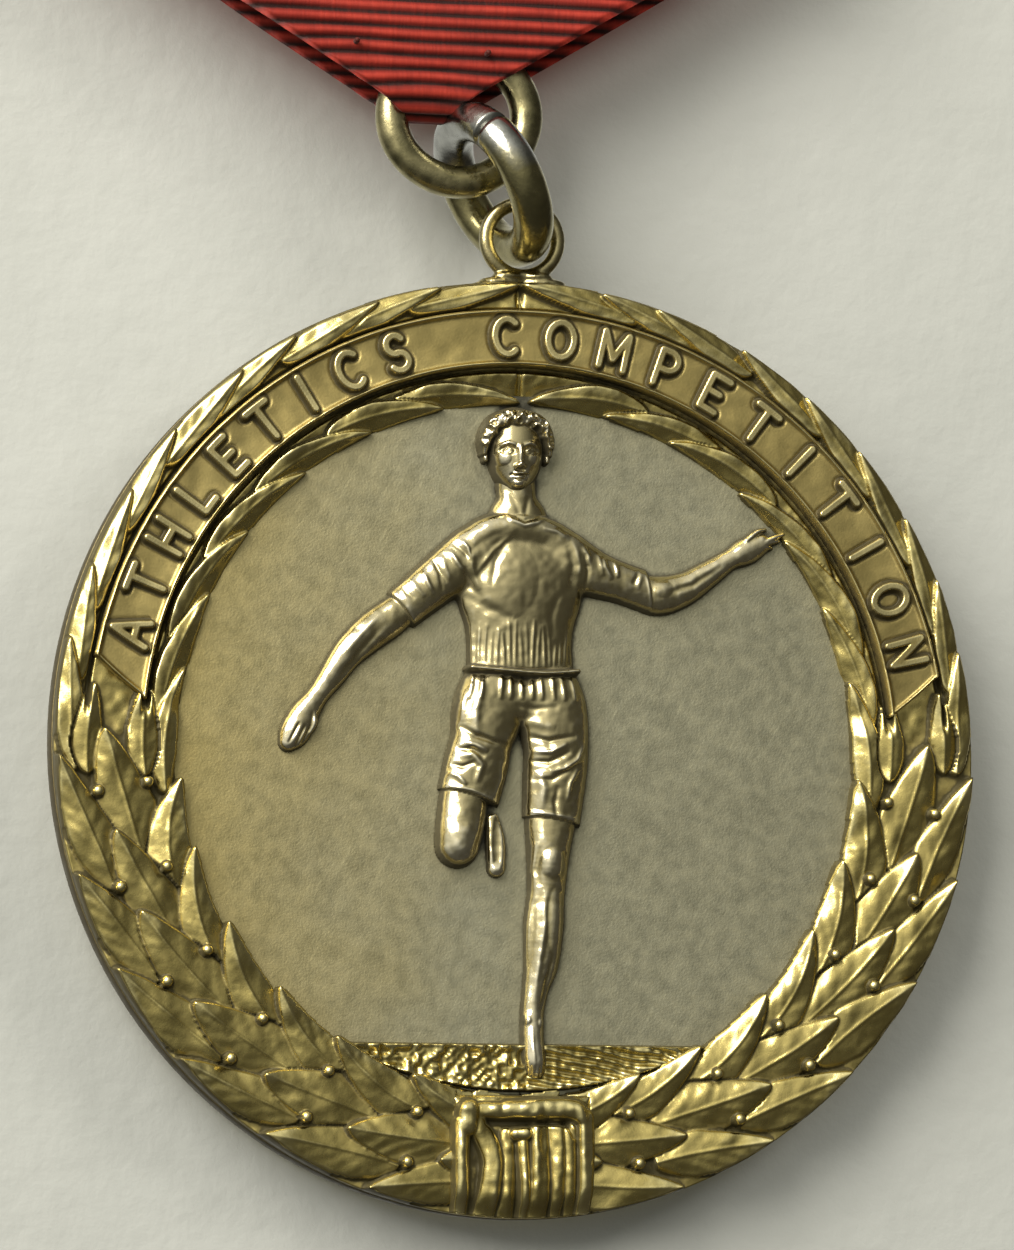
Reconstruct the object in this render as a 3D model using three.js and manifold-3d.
// A struck sports medal on a folded ribbon: relief disc, soldered loop, two wire rings and a sewn-on brooch.
// Millimetres, +Z up, the obverse facing -Y and +X on its right.
// The origin is the middle of the flat panel on the reverse of the disc.
import * as THREE from "three";
import { mergeVertices } from "three/addons/utils/BufferGeometryUtils.js";
import Module from "manifold-3d";

const wasm = await Module();
wasm.setup();

const { cos, sin, PI } = Math;
const degrees = PI / 180;

// ---------- Driving dimensions ----------

// Disc. Heights are measured from the reverse towards the viewer.
const DISC_RADIUS = 15;
const EDGE_HEIGHT = 1.6;
const BAND_HEIGHT = 1.75;
const FIELD_HEIGHT = 1.4;
const FIELD_RADIUS = 11;
const REVERSE_RIM = 1.1;
const REVERSE_RECESS = 0.2;
const PANEL = { width: 14, height: 5, corner: 1 };
const DISC_SEGMENTS = 80;

// Relief on the obverse. Angles up the wreath run from the foot of the disc.
const LEAF_LENGTH = 3.9;
const LEAF_STEP = 13.3 * degrees;
const WREATH_TOP = 176 * degrees;
const BANNER_START = 92 * degrees;
const BANNER = { inner: 12.2, outer: 14, innerSpan: 84.5 * degrees, outerSpan: 79.5 * degrees, height: 2.1 };
const BANNER_LIP = { width: 0.16, height: 2.22 };
const GROUND = { top: -9.4, height: 1.72 };
const TIE = { width: 4.4, low: -15.05, high: -11.1 };

// Rings: centreline radius and wire radius.
const LOOP = { ring: 1.17, wire: 0.25 };
const LINK_RING = { ring: 2.2, wire: 0.65 };
const RIBBON_RING = { ring: 2.17, wire: 0.56 };
const WIRE_SPLIT = 0.12;

// The chain hangs in the middle plane of the disc's edge, a little to the left of its axis.
const CHAIN_PLANE = -0.95;
const LOOP_CENTRE = new THREE.Vector3(0.2, CHAIN_PLANE, 16.47);
const LINK_RING_CENTRE = new THREE.Vector3(-0.75, CHAIN_PLANE, 18.24);
const RIBBON_RING_CENTRE = new THREE.Vector3(-1.9, CHAIN_PLANE, 20.47);
const LINK_LEAN = 28 * degrees;
const LINK_TWIST = 10 * degrees;
const LINK_SPLIT_ANGLE = -40 * degrees;

// Ribbon
const RIBBON = { x: -3.1, width: 27, tip: 20.25, top: 50, rise: 0.613, tipWidth: 0.6 };
const RIBBON_THICKNESS = 0.35;
const FOLD_DEPTH = 2;
const SEWN_DEPTH = 0.9;
const TUNNEL_TOP = 23.6;
const FOLDED_CORNER_START = 26.3;
const THREAD = 0.3;
const SEAT_GAP = 0.03;

// Brooch. The hinge is drawn round its own axis.
const PLATE = { width: 22, height: 3.2, thickness: 0.5, z: 46, corner: 0.6, hole: 0.6 };
const PLATE_BACK = CHAIN_PLANE + SEWN_DEPTH / 2 + SEAT_GAP + PLATE.thickness;
const STITCH = { reach: 6, spread: 0.9, overhang: 0.3 };
const PIN_RADIUS = 0.4;
const PIN_POINT = 1.6;
const RIVET_RADIUS = 0.35;
const BORE_RADIUS = 0.4;
const HINGE_REACH = 9.4;
const HINGE = { eye: 0.7, gap: 0.06, eyeHeight: 1.1, lug: 0.45, base: 0.35, baseWidth: 2.2 };
const HINGE_AXIS = PLATE_BACK + HINGE.base + 0.75;
const CATCH = { wall: 0.35, room: PIN_RADIUS + 0.1, length: 2 };

// ---------- Finishes ----------

function finish(color, roughness, metalness) {
  return new THREE.MeshStandardMaterial({ color, roughness, metalness });
}

const gilt = () => finish(0x8c7d4c, 0.38, 1);
const wornGilt = () => finish(0x7d7350, 0.3, 1);
const steel = () => finish(0x9a9a96, 0.3, 1);
const redCloth = () => finish(0x8f3025, 0.85, 0);
const redThread = () => finish(0x6e231b, 0.9, 0);

// ---------- Solids ----------

// A closed manifold solid from a three.js geometry.
function solid(geometry) {
  const bare = geometry.index ? geometry.toNonIndexed() : geometry.clone();
  bare.deleteAttribute("normal");
  bare.deleteAttribute("uv");
  const merged = mergeVertices(bare, 1e-4);
  const corners = merged.index.array;
  const kept = [];
  for (let i = 0; i < corners.length; i += 3) {
    const [a, b, c] = [corners[i], corners[i + 1], corners[i + 2]];
    if (a !== b && b !== c && c !== a) kept.push(a, b, c);
  }
  return new wasm.Manifold(
    new wasm.Mesh({
      numProp: 3,
      vertProperties: merged.attributes.position.array,
      triVerts: new Uint32Array(kept),
    }),
  );
}

function geometryOf(body) {
  const mesh = body.getMesh();
  const geometry = new THREE.BufferGeometry();
  geometry.setAttribute("position", new THREE.BufferAttribute(mesh.vertProperties, 3));
  geometry.setIndex(new THREE.BufferAttribute(mesh.triVerts, 1));
  const flat = geometry.toNonIndexed();
  flat.computeVertexNormals();
  return flat;
}

const union = (bodies) => bodies.reduce((all, body) => all.add(body));

function extrude(shape, from, to, curveSegments = 6) {
  const geometry = new THREE.ExtrudeGeometry(shape, { depth: to - from, bevelEnabled: false, curveSegments });
  return geometry.translate(0, 0, from);
}

function roundedRectangle(width, height, radius) {
  const shape = new THREE.Shape();
  const [x, y] = [width / 2 - radius, height / 2 - radius];
  shape.absarc(x, y, radius, 0, PI / 2);
  shape.absarc(-x, y, radius, PI / 2, PI);
  shape.absarc(-x, -y, radius, PI, 1.5 * PI);
  shape.absarc(x, -y, radius, 1.5 * PI, 2 * PI);
  shape.closePath();
  return shape;
}

// ---------- Disc, modelled face up: x right, y up the medal, z towards the viewer ----------

// Round blank: plain edge, low band for the wreath, flat field, and a rim and sunk field on the reverse.
function blank() {
  const recessRadius = DISC_RADIUS - REVERSE_RIM;
  const profile = [
    [0, REVERSE_RECESS],
    [recessRadius, REVERSE_RECESS],
    [recessRadius + 0.15, 0],
    [DISC_RADIUS - 0.2, 0],
    [DISC_RADIUS, 0.2],
    [DISC_RADIUS, EDGE_HEIGHT - 0.1],
    [DISC_RADIUS - 0.15, EDGE_HEIGHT],
    [DISC_RADIUS - 0.5, BAND_HEIGHT],
    [FIELD_RADIUS + 0.2, BAND_HEIGHT],
    [FIELD_RADIUS, FIELD_HEIGHT],
    [0, FIELD_HEIGHT],
  ].map(([radius, height]) => new THREE.Vector2(radius, height));
  return solid(new THREE.LatheGeometry(profile, DISC_SEGMENTS).rotateX(PI / 2));
}

function reversePanel() {
  const outline = roundedRectangle(PANEL.width, PANEL.height, PANEL.corner);
  return solid(extrude(outline, 0, REVERSE_RECESS + 0.3));
}

// One laurel leaf: a four-sided spindle whose upper edge is the midrib.
// The angle runs up the left branch from the bottom of the disc; side is -1 there and +1 on the right.
function leaf(side, angle, radius, width, height, splay) {
  const spindle = new THREE.SphereGeometry(1, 4, 4);
  spindle.scale(width / 2, LEAF_LENGTH / 2, height);
  spindle.rotateZ(-side * (PI / 2 - angle + splay));
  return solid(spindle.translate(side * radius * sin(angle), -radius * cos(angle), BAND_HEIGHT));
}

// Three rows of leaves below the banner, two narrower rows beside it.
function wreath() {
  const rows = [
    { radius: 13.95, start: 0.24, splay: 0.24, width: 1.6, height: 0.5, past: 14.35, pastWidth: 0.9 },
    { radius: 12.95, start: 0.14, splay: 0, width: 2, height: 0.62, past: 0, pastWidth: 0 },
    { radius: 11.75, start: 0.3, splay: -0.3, width: 1.6, height: 0.5, past: 11.65, pastWidth: 1.1 },
  ];
  const leaves = [];
  for (const side of [-1, 1]) {
    for (const row of rows) {
      for (let angle = row.start; angle < WREATH_TOP; angle += LEAF_STEP) {
        const beside = angle > BANNER_START;
        if (beside && row.past === 0) break;
        const radius = beside ? row.past : row.radius;
        const width = beside ? row.pastWidth : row.width;
        const splay = beside ? row.splay / 3 : row.splay;
        leaves.push(leaf(side, angle, radius, width, row.height, splay));
      }
    }
  }
  return union(leaves);
}

function arcBand(inner, outer, innerSpan, outerSpan) {
  const shape = new THREE.Shape();
  shape.absarc(0, 0, outer, PI / 2 - outerSpan, PI / 2 + outerSpan, false);
  shape.absarc(0, 0, inner, PI / 2 + innerSpan, PI / 2 - innerSpan, true);
  shape.closePath();
  return shape;
}

// Curved banner over the top of the wreath, with pointed ends and a raised lip along both long edges.
function banner() {
  const { inner, outer, innerSpan, outerSpan } = BANNER;
  const curveSegments = 24;
  const taper = ((innerSpan - outerSpan) * BANNER_LIP.width) / (outer - inner);
  const plate = arcBand(inner, outer, innerSpan, outerSpan);
  const innerLip = arcBand(inner, inner + BANNER_LIP.width, innerSpan, innerSpan - taper);
  const outerLip = arcBand(outer - BANNER_LIP.width, outer, outerSpan + taper, outerSpan);
  return union([
    solid(extrude(plate, FIELD_HEIGHT, BANNER.height, curveSegments)),
    solid(extrude(innerLip, FIELD_HEIGHT, BANNER_LIP.height, curveSegments)),
    solid(extrude(outerLip, FIELD_HEIGHT, BANNER_LIP.height, curveSegments)),
  ]);
}

// Strip of ground across the bottom of the field.
function ground() {
  const reach = FIELD_RADIUS + 0.15;
  const half = Math.acos(-GROUND.top / reach);
  const shape = new THREE.Shape();
  shape.absarc(0, 0, reach, -PI / 2 - half, -PI / 2 + half, false);
  shape.closePath();
  return solid(extrude(shape, FIELD_HEIGHT - 0.2, GROUND.height, 16));
}

// Cloth tie round the foot of the wreath: a plain strap with upright pleats and a rolled top edge.
function tie() {
  const height = TIE.high - TIE.low;
  const middle = (TIE.low + TIE.high) / 2;
  const strap = new THREE.BoxGeometry(TIE.width, height, 0.9).translate(0, middle, 1.6);
  const pleats = [-1.75, -1.05, -0.35, 0.4, 1.1, 1.75].map((x) => {
    const pleat = new THREE.CylinderGeometry(0.32, 0.4, height - 0.1, 8);
    return solid(pleat.scale(1, 1, 0.9).translate(x, middle, 2.05));
  });
  const roll = new THREE.CylinderGeometry(0.28, 0.28, TIE.width, 8).rotateZ(PI / 2);
  return union([solid(strap), solid(roll.translate(0, TIE.high - 0.3, 2.15)), ...pleats]);
}

// A rounded limb between two points in the plane of the field, flattened to low relief.
function limb(start, end, startRadius, endRadius, height = 0.45) {
  const [from, to] = [new THREE.Vector2(...start), new THREE.Vector2(...end)];
  const length = from.distanceTo(to);
  const profile = [
    [0, -startRadius],
    [startRadius * 0.75, -startRadius * 0.66],
    [startRadius, 0],
    [endRadius, length],
    [endRadius * 0.75, length + endRadius * 0.66],
    [0, length + endRadius],
  ].map(([radius, along]) => new THREE.Vector2(radius, along));
  const flattening = height / Math.max(startRadius, endRadius);
  const geometry = new THREE.LatheGeometry(profile, 10).scale(1, 1, flattening);
  const direction = to.sub(from).angle() - PI / 2;
  return solid(geometry.rotateZ(direction).translate(from.x, from.y, FIELD_HEIGHT));
}

function blob(x, y, width, height, depth, level = FIELD_HEIGHT) {
  return solid(new THREE.SphereGeometry(1, 12, 8).scale(width / 2, height / 2, depth).translate(x, y, level));
}

// Plain face on even thirds: brow, nose and mouth share the height below the hair.
function head() {
  const [x, y] = [-0.18, 9.35];
  const face = FIELD_HEIGHT + 0.78;
  return union([
    blob(x, y, 2.05, 2.75, 0.92),
    blob(x, y + 0.55, 2.5, 1.7, 0.78),
    blob(x - 1.1, y - 0.05, 0.4, 0.6, 0.5),
    blob(x + 1.1, y - 0.05, 0.4, 0.6, 0.5),
    blob(x, y - 0.3, 0.26, 0.75, 0.26, face),
    blob(x - 0.4, y + 0.02, 0.42, 0.16, 0.16, face),
    blob(x + 0.4, y + 0.02, 0.42, 0.16, 0.16, face),
    blob(x, y - 0.82, 0.5, 0.14, 0.14, face - 0.1),
    limb([-0.15, 8.2], [-0.1, 7.4], 0.55, 0.65, 0.6),
  ]);
}

// Runner at full stride, seen from the front.
function runner() {
  const torso = [
    limb([-0.55, 6.1], [-0.35, 2.9], 1.4, 1.25, 0.85),
    limb([0.75, 6.1], [0.45, 2.9], 1.35, 1.25, 0.85),
    limb([-1.5, 6.55], [1.6, 6.35], 0.75, 0.75, 0.75),
  ];
  const arms = [
    limb([-1.7, 6.5], [-4.4, 3.75], 0.8, 0.62, 0.62),
    limb([-4.4, 3.75], [-6.75, 1.2], 0.5, 0.34, 0.46),
    limb([-6.75, 1.2], [-7.35, 0.1], 0.38, 0.42, 0.4),
    limb([1.7, 6.35], [4.5, 5], 0.78, 0.6, 0.62),
    limb([4.5, 4.95], [6.95, 6.35], 0.48, 0.34, 0.46),
    limb([6.95, 6.35], [8.35, 6.95], 0.34, 0.16, 0.36),
  ];
  const shorts = [
    limb([-0.85, 1.7], [-1.5, -1.3], 1.15, 0.98, 0.85),
    limb([0.85, 1.7], [1, -1.6], 1.25, 0.92, 0.85),
    limb([-0.9, 2.35], [0.95, 2.3], 0.5, 0.5, 0.85),
  ];
  const legs = [
    limb([-1.6, -1.6], [-1.95, -3.1], 0.72, 0.64, 0.75),
    limb([1, -1.8], [0.95, -3.3], 0.8, 0.66, 0.7),
    limb([0.95, -3.3], [0.75, -5.6], 0.64, 0.6, 0.6),
    limb([0.75, -5.6], [0.45, -8.6], 0.58, 0.32, 0.5),
    limb([0.45, -8.6], [0.45, -10.2], 0.34, 0.38, 0.6),
    blob(-0.9, -3.2, 0.72, 2.2, 0.34),
  ];
  return union([head(), ...torso, ...arms, ...shorts, ...legs]);
}

// Everything on the disc is struck from one blank, so the relief is joined to it.
function medalDisc() {
  return union([blank(), reversePanel(), wreath(), banner(), ground(), tie(), runner()]);
}

// ---------- Rings and solder ----------

function torus(size, clearance = 0) {
  return new THREE.TorusGeometry(size.ring, size.wire + clearance, 10, 30);
}

// A ring bent from wire, its butted ends left a hair apart at the given angle round it.
function splitRing(size, angle) {
  const gap = new THREE.BoxGeometry(4 * size.wire, WIRE_SPLIT, 4 * size.wire).translate(size.ring, 0, 0);
  return solid(torus(size)).subtract(solid(gap.rotateZ(angle)));
}

// The link ring runs down its own lean, with its front edge twisted a little to the right.
function linkRingTurn() {
  const down = new THREE.Vector3(sin(LINK_LEAN), 0, -cos(LINK_LEAN));
  const across = new THREE.Vector3(cos(LINK_LEAN), 0, sin(LINK_LEAN));
  const front = new THREE.Vector3(0, -cos(LINK_TWIST), 0).addScaledVector(across, sin(LINK_TWIST));
  const axle = new THREE.Vector3().crossVectors(front, down);
  return new THREE.Matrix4().makeBasis(front, down, axle);
}

// Fillet of solder on one side of the loop's foot, drawn around the loop's centre.
function loopSolder(side) {
  const [foot, crown, depth] = [1.5, 0.9, 0.8];
  const hug = LOOP.ring + LOOP.wire + SEAT_GAP;
  const besideLoop = (angle) => [side * hug * sin(angle), -hug * cos(angle)];
  const seat = DISC_RADIUS + SEAT_GAP;
  const onEdge = (x) => [x, Math.sqrt(seat ** 2 - (LOOP_CENTRE.x + x) ** 2) - LOOP_CENTRE.z];
  const shape = new THREE.Shape();
  shape.moveTo(...onEdge(side * 0.5));
  shape.lineTo(...onEdge(side));
  shape.lineTo(...onEdge(side * foot));
  shape.quadraticCurveTo(side * 1.05, -1.3, ...besideLoop(crown));
  shape.lineTo(...besideLoop(crown * 0.8));
  shape.lineTo(...besideLoop(crown * 0.6));
  shape.lineTo(...besideLoop(crown * 0.4));
  shape.closePath();
  return extrude(shape, -depth / 2, depth / 2).rotateX(PI / 2);
}

// ---------- Ribbon ----------

// Side profile of the folded ribbon: a bulge at the foot for the ring, sewn flat above it.
function ribbonProfile(inset) {
  const half = FOLD_DEPTH / 2 - inset;
  const sewn = SEWN_DEPTH / 2;
  const foldCentre = RIBBON.tip + FOLD_DEPTH / 2;
  const profile = new THREE.Shape();
  if (inset === 0) {
    profile.moveTo(sewn, RIBBON.top);
    profile.lineTo(-sewn, RIBBON.top);
    profile.lineTo(-sewn, TUNNEL_TOP + 2);
  } else {
    profile.moveTo(0, TUNNEL_TOP + 0.6);
  }
  profile.lineTo(-half, TUNNEL_TOP - 0.5);
  profile.absarc(0, foldCentre, half, PI, 2 * PI, false);
  profile.lineTo(half, TUNNEL_TOP - 0.5);
  if (inset === 0) profile.lineTo(sewn, TUNNEL_TOP + 2);
  profile.closePath();
  return profile;
}

// Ends of the slanting fold, measured from the ribbon's middle line: its start at the point, and the corner.
const half = RIBBON.width / 2;
const tip = RIBBON.tipWidth / 2;
const corner = RIBBON.tip + (half - tip) * RIBBON.rise;

// Front outline: straight sides, then both lower corners folded in to a blunt point.
function ribbonOutline() {
  const shape = new THREE.Shape();
  shape.moveTo(-tip, RIBBON.tip - 0.1);
  shape.lineTo(tip, RIBBON.tip - 0.1);
  shape.lineTo(half, corner);
  shape.lineTo(half, RIBBON.top + 1);
  shape.lineTo(-half, RIBBON.top + 1);
  shape.lineTo(-half, corner);
  shape.closePath();
  return shape;
}

// One lower corner of the cloth folded up behind: the square corner mirrored in the slanting fold.
// Only the part above the bulge is drawn, because below it the cloth lies round the ring.
function foldedCorner() {
  const start = new THREE.Vector2(tip, RIBBON.tip);
  const end = new THREE.Vector2(half, corner);
  const fold = end.clone().sub(start).normalize();
  const square = new THREE.Vector2(half - tip, 0);
  const mirrored = fold.clone().multiplyScalar(2 * square.dot(fold)).sub(square).add(start);
  const along = (FOLDED_CORNER_START - start.y) / (mirrored.y - start.y);
  const inner = start.clone().lerp(mirrored, along);
  const beyond = mirrored.clone().lerp(end, 1.2);
  const shape = new THREE.Shape([inner, new THREE.Vector2(beyond.x, FOLDED_CORNER_START), beyond, mirrored]);
  const front = -SEWN_DEPTH / 2 + RIBBON_THICKNESS / 2;
  return solid(extrude(shape, -SEWN_DEPTH / 2 - RIBBON_THICKNESS, front).rotateX(PI / 2));
}

// Room for the ring in the tunnel and for the link ring beside the fold, over the whole of their travel.
function ribbonClearance() {
  const ring = torus(RIBBON_RING, 0.08).rotateX(PI / 2).translate(...RIBBON_RING_CENTRE.toArray());
  const linkTop = new THREE.Vector3(-sin(LINK_LEAN), 0, cos(LINK_LEAN)).multiplyScalar(LINK_RING.ring);
  const roomRadius = LINK_RING.wire + 0.32;
  const linkRoom = new THREE.CylinderGeometry(roomRadius, roomRadius, 2 * LINK_RING.wire + 0.2, 16);
  linkRoom.translate(...linkTop.add(LINK_RING_CENTRE).toArray());
  return solid(ring).add(solid(linkRoom));
}

// Blind holes for the threads that hold the brooch plate.
function stitchHoles() {
  const depth = 0.4;
  const size = THREAD + 0.1;
  const back = CHAIN_PLANE + SEWN_DEPTH / 2;
  return union(
    stitchPlaces().flatMap(({ x, inner, outer }) =>
      [inner, outer].map((z) => solid(new THREE.BoxGeometry(size, 2 * depth, size).translate(x, back, z))),
    ),
  );
}

function ribbon() {
  const strap = solid(extrude(ribbonProfile(0), -half - 1, half + 1, 10));
  const tunnel = solid(extrude(ribbonProfile(RIBBON_THICKNESS), -half - 2, half + 2, 10));
  const standing = new THREE.Matrix4().makeBasis(
    new THREE.Vector3(0, 1, 0),
    new THREE.Vector3(0, 0, 1),
    new THREE.Vector3(1, 0, 0),
  );
  const outline = extrude(ribbonOutline(), -5, 5).rotateX(PI / 2);
  return strap
    .subtract(tunnel)
    .transform(standing.toArray())
    .add(foldedCorner())
    .add(foldedCorner().mirror([1, 0, 0]))
    .intersect(solid(outline))
    .translate([RIBBON.x, CHAIN_PLANE, 0])
    .subtract(ribbonClearance())
    .subtract(stitchHoles());
}

// A short tack of thread across two ribs on the front of the fold.
function tack() {
  return new THREE.CapsuleGeometry(0.09, 0.4, 4, 8);
}

// ---------- Brooch ----------

// Four places where thread passes through the plate and over its edge: hole height and edge height.
function stitchPlaces() {
  const places = [];
  for (const x of [RIBBON.x - STITCH.reach, RIBBON.x + STITCH.reach]) {
    for (const side of [-1, 1]) {
      const outer = PLATE.height / 2 + STITCH.overhang;
      places.push({ x, inner: PLATE.z + side * STITCH.spread, outer: PLATE.z + side * outer });
    }
  }
  return places;
}

function pinPlate() {
  const outline = roundedRectangle(PLATE.width, PLATE.height, PLATE.corner);
  for (const { x, inner } of stitchPlaces()) {
    const hole = new THREE.Path();
    hole.absarc(x - RIBBON.x, inner - PLATE.z, PLATE.hole / 2, 0, 2 * PI, true);
    outline.holes.push(hole);
  }
  return extrude(outline, 0, PLATE.thickness, 4);
}

// A staple of thread: two legs into the ribbon and a bridge behind the plate.
function stitch(reach) {
  const [leg, bridge] = [PLATE.thickness + 0.35, THREAD];
  const shape = new THREE.Shape();
  shape.moveTo(-THREAD / 2, -leg);
  shape.lineTo(THREAD / 2, -leg);
  shape.lineTo(THREAD / 2, 0);
  shape.lineTo(reach - THREAD / 2, 0);
  shape.lineTo(reach - THREAD / 2, -leg);
  shape.lineTo(reach + THREAD / 2, -leg);
  shape.lineTo(reach + THREAD / 2, bridge);
  shape.lineTo(-THREAD / 2, bridge);
  shape.closePath();
  return extrude(shape, -THREAD / 2, THREAD / 2);
}

// Base and two drilled lugs, drawn from above so that the rivet's axis is the extrusion.
function pinJoint() {
  const lugOutline = new THREE.Shape();
  const foot = PLATE_BACK + SEAT_GAP - HINGE_AXIS;
  lugOutline.moveTo(-HINGE.eye, foot);
  lugOutline.lineTo(HINGE.eye, foot);
  lugOutline.lineTo(HINGE.eye, 0);
  lugOutline.absarc(0, 0, HINGE.eye, 0, PI, false);
  lugOutline.closePath();
  lugOutline.holes.push(new THREE.Path().absarc(0, 0, BORE_RADIUS, 0, 2 * PI, true));
  const inner = HINGE.eyeHeight / 2 + HINGE.gap;
  const lug = solid(extrude(lugOutline, inner, inner + HINGE.lug, 6));
  const base = new THREE.BoxGeometry(HINGE.baseWidth, HINGE.base, 2 * (inner + HINGE.lug));
  return union([lug, lug.mirror([0, 0, 1]), solid(base.translate(0, foot + HINGE.base / 2, 0))]);
}

function hingeRivet() {
  const reach = HINGE.eyeHeight / 2 + HINGE.gap + HINGE.lug + 0.04;
  const shank = new THREE.CylinderGeometry(RIVET_RADIUS, RIVET_RADIUS, 2 * reach + 0.1, 16);
  const head = () => new THREE.CylinderGeometry(RIVET_RADIUS + 0.1, RIVET_RADIUS + 0.22, 0.2, 16);
  const upper = head().translate(0, reach + 0.1, 0);
  const lower = head().rotateX(PI).translate(0, -reach - 0.1, 0);
  return union([solid(shank), solid(upper), solid(lower)]).rotate([90, 0, 0]);
}

// Eye, straight stem and point. The stem runs from the hinge to just past the catch.
function broochPin() {
  const stem = 2 * HINGE_REACH + 0.9;
  const profile = [
    [0, 0],
    [PIN_RADIUS, 0],
    [PIN_RADIUS, stem - PIN_POINT],
    [0.08, stem],
    [0, stem],
  ].map(([radius, along]) => new THREE.Vector2(radius, along));
  const shaft = new THREE.LatheGeometry(profile, 12).rotateZ(-PI / 2);
  const eye = new THREE.CylinderGeometry(HINGE.eye, HINGE.eye, HINGE.eyeHeight, 20).rotateX(PI / 2);
  const bore = new THREE.CylinderGeometry(BORE_RADIUS, BORE_RADIUS, 4, 20).rotateX(PI / 2);
  return solid(shaft).add(solid(eye)).subtract(solid(bore));
}

// Two-lipped trough, open to the back, that the pin drops into.
function pinCatch() {
  const { wall, room, length } = CATCH;
  const floor = PLATE_BACK + SEAT_GAP - HINGE_AXIS;
  const shape = new THREE.Shape();
  shape.moveTo(-room - wall, floor);
  shape.lineTo(room + wall, floor);
  shape.lineTo(room + wall, PIN_RADIUS + 0.35);
  shape.lineTo(room, PIN_RADIUS + 0.2);
  shape.lineTo(room, 0);
  shape.absarc(0, 0, room, 0, -PI, true);
  shape.lineTo(-room, PIN_RADIUS + 0.2);
  shape.lineTo(-room - wall, PIN_RADIUS + 0.35);
  shape.closePath();
  return extrude(shape, -length / 2, length / 2, 6);
}

// ---------- Assembly ----------

const medal = new THREE.Group();

function place(name, geometry, material, position = new THREE.Vector3()) {
  const mesh = new THREE.Mesh(geometry, material);
  mesh.name = name;
  mesh.position.copy(position);
  medal.add(mesh);
  return mesh;
}

place("medal_disc", geometryOf(medalDisc()), gilt()).rotation.x = PI / 2;
place("suspension_loop", torus(LOOP), gilt(), LOOP_CENTRE).rotation.x = PI / 2;
place("loop_solder_left", loopSolder(-1), gilt(), LOOP_CENTRE);
place("loop_solder_right", loopSolder(1), gilt(), LOOP_CENTRE);
place("ribbon_ring", torus(RIBBON_RING), wornGilt(), RIBBON_RING_CENTRE).rotation.x = PI / 2;

const linkGeometry = geometryOf(splitRing(LINK_RING, LINK_SPLIT_ANGLE));
const linkRing = place("link_ring", linkGeometry, wornGilt(), LINK_RING_CENTRE);
linkRing.quaternion.setFromRotationMatrix(linkRingTurn());

place("ribbon", geometryOf(ribbon()), redCloth());
const tackPlane = CHAIN_PLANE - FOLD_DEPTH / 2 - 0.09 - SEAT_GAP;
place("ribbon_tack_left", tack(), redThread(), new THREE.Vector3(RIBBON.x - 2.4, tackPlane, 22.5));
place("ribbon_tack_right", tack(), redThread(), new THREE.Vector3(RIBBON.x + 1.9, tackPlane, 22.3));

const plateMesh = place("pin_plate", pinPlate(), gilt(), new THREE.Vector3(RIBBON.x, PLATE_BACK, PLATE.z));
plateMesh.rotation.x = PI / 2;

stitchPlaces().forEach(({ x, inner, outer }, index) => {
  const height = Math.abs(outer - inner);
  const thread = place(
    `plate_stitch_${index + 1}`,
    stitch(height),
    redThread(),
    new THREE.Vector3(x, PLATE_BACK + SEAT_GAP, inner),
  );
  thread.setRotationFromMatrix(
    new THREE.Matrix4().makeBasis(
      new THREE.Vector3(0, 0, Math.sign(outer - inner)),
      new THREE.Vector3(0, 1, 0),
      new THREE.Vector3(-Math.sign(outer - inner), 0, 0),
    ),
  );
});

const hingePoint = new THREE.Vector3(RIBBON.x - HINGE_REACH, HINGE_AXIS, PLATE.z);
const catchPoint = new THREE.Vector3(RIBBON.x + HINGE_REACH - 0.6, HINGE_AXIS, PLATE.z);
place("pin_joint", geometryOf(pinJoint()), gilt(), hingePoint);
place("hinge_rivet", geometryOf(hingeRivet()), steel(), hingePoint);
place("brooch_pin", geometryOf(broochPin()), steel(), hingePoint);
const catchMesh = place("pin_catch", pinCatch(), gilt(), catchPoint);
catchMesh.setRotationFromMatrix(
  new THREE.Matrix4().makeBasis(
    new THREE.Vector3(0, 0, -1),
    new THREE.Vector3(0, 1, 0),
    new THREE.Vector3(1, 0, 0),
  ),
);

export default medal;
